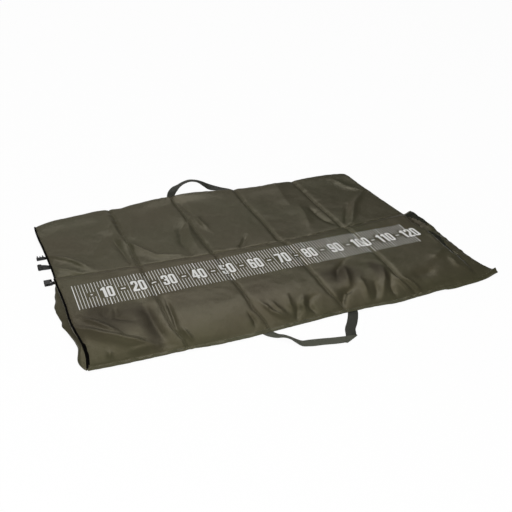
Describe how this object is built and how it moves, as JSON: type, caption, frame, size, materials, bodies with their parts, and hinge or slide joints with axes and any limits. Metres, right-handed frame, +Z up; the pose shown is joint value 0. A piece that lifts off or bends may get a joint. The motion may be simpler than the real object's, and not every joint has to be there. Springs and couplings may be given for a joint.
{
  "type": "unhooking mat",
  "caption": "Folding padded fish unhooking mat with stitched columns, a fold-over ruled flap, carrying handles and edge closures.",
  "frame": {"origin": "on the ground under the middle of the mat's base, not counting handles and closures", "axes": "+X along the length, from the low end of the ruler to the high end; +Y from the flap's hinge to the rear edge; +Z up"},
  "size_m": [1.3993, 1.2344, 0.0434],
  "materials": {
    "nylon": "coated woven nylon with a soft sheen",
    "foam": "closed-cell foam",
    "webbing": "woven webbing",
    "closure_webbing": "woven webbing",
    "piping": "corded edge",
    "buckle_plastic": "moulded, fine grain"
  },
  "bodies": {
    "column_1": {"base_underside_1": "nylon", "base_foam_1": "foam", "base_cover_1": "nylon", "front_fold_1": "nylon", "base_piping": "piping"},
    "flap_1": {"flap_lining_1": "nylon", "flap_foam_1": "foam", "flap_cover_1": "nylon", "flap_piping": "piping"},
    "column_2": {"base_underside_2": "nylon", "base_foam_2": "foam", "base_cover_2": "nylon", "front_fold_2": "nylon"},
    "flap_2": {"flap_lining_2": "nylon", "flap_foam_2": "foam", "flap_cover_2": "nylon"},
    "column_3": {"base_underside_3": "nylon", "base_foam_3": "foam", "base_cover_3": "nylon", "front_fold_3": "nylon"},
    "flap_3": {"flap_lining_3": "nylon", "flap_foam_3": "foam", "flap_cover_3": "nylon"},
    "column_4": {"base_underside_4": "nylon", "base_foam_4": "foam", "base_cover_4": "nylon", "front_fold_4": "nylon"},
    "flap_4": {"flap_lining_4": "nylon", "flap_foam_4": "foam", "flap_cover_4": "nylon"},
    "column_5": {"base_underside_5": "nylon", "base_foam_5": "foam", "base_cover_5": "nylon", "front_fold_5": "nylon"},
    "flap_5": {"flap_lining_5": "nylon", "flap_foam_5": "foam", "flap_cover_5": "nylon"},
    "front_loop": {"front_handle": "webbing"},
    "rear_loop": {"rear_handle": "webbing"},
    "strap_end": {"closure_strap": "closure_webbing"},
    "socket_half": {"buckle_tab": "webbing", "buckle_socket": "buckle_plastic"},
    "prong_half": {"buckle_link": "webbing", "buckle_prongs": "buckle_plastic"}
  },
  "joints": [
    {"name": "seam_2_lifts", "type": "hinge", "parent": "column_3", "child": "column_2", "pos_m": [-0.138, 0, 0.0386], "axis": [0, -1, 0], "range_deg": [-90, 0]},
    {"name": "seam_3_lifts", "type": "hinge", "parent": "column_3", "child": "column_4", "pos_m": [0.12, 0, 0.0386], "axis": [0, 1, 0], "range_deg": [-90, 0]},
    {"name": "seam_1_folds", "type": "hinge", "parent": "column_2", "child": "column_1", "pos_m": [-0.396, 0, 0.0386], "axis": [0, 1, 0], "range_deg": [0, 180]},
    {"name": "seam_4_folds", "type": "hinge", "parent": "column_4", "child": "column_5", "pos_m": [0.378, 0, 0.0386], "axis": [0, -1, 0], "range_deg": [0, 180]},
    {"name": "flap_opens", "type": "hinge", "parent": "column_3", "child": "flap_3", "pos_m": [0, -0.4625, 0.0219], "axis": [1, 0, 0], "range_deg": [0, 180]},
    {"name": "flap_panel_1_opens", "type": "hinge", "parent": "column_1", "child": "flap_1", "pos_m": [0, -0.4625, 0.0219], "axis": [1, 0, 0], "range_deg": [0, 180]},
    {"name": "flap_panel_2_opens", "type": "hinge", "parent": "column_2", "child": "flap_2", "pos_m": [0, -0.4625, 0.0219], "axis": [1, 0, 0], "range_deg": [0, 180]},
    {"name": "flap_panel_4_opens", "type": "hinge", "parent": "column_4", "child": "flap_4", "pos_m": [0, -0.4625, 0.0219], "axis": [1, 0, 0], "range_deg": [0, 180]},
    {"name": "flap_panel_5_opens", "type": "hinge", "parent": "column_5", "child": "flap_5", "pos_m": [0, -0.4625, 0.0219], "axis": [1, 0, 0], "range_deg": [0, 180]},
    {"name": "front_handle_lifts", "type": "hinge", "parent": "column_3", "child": "front_loop", "pos_m": [0, -0.4863, 0.001], "axis": [1, 0, 0], "range_deg": [-90, 0]},
    {"name": "rear_handle_lifts", "type": "hinge", "parent": "column_3", "child": "rear_loop", "pos_m": [0, 0.4863, 0.001], "axis": [1, 0, 0], "range_deg": [-18, 72]},
    {"name": "strap_end_lifts", "type": "hinge", "parent": "column_1", "child": "strap_end", "pos_m": [-0.6701, 0.142, 0.0008], "axis": [0, -1, 0], "range_deg": [-90, 0]},
    {"name": "socket_lifts", "type": "hinge", "parent": "column_1", "child": "socket_half", "pos_m": [-0.6701, 0.035, 0.0008], "axis": [0, -1, 0], "range_deg": [-60, 0]},
    {"name": "prongs_lift", "type": "hinge", "parent": "column_1", "child": "prong_half", "pos_m": [-0.6701, 0.215, 0.0008], "axis": [0, -1, 0], "range_deg": [-70, 0]}
  ],
  "couplings": [
    {"joint": "flap_panel_1_opens", "follows": "flap_opens", "ratio": 1},
    {"joint": "flap_panel_2_opens", "follows": "flap_opens", "ratio": 1},
    {"joint": "flap_panel_4_opens", "follows": "flap_opens", "ratio": 1},
    {"joint": "flap_panel_5_opens", "follows": "flap_opens", "ratio": 1}
  ]
}
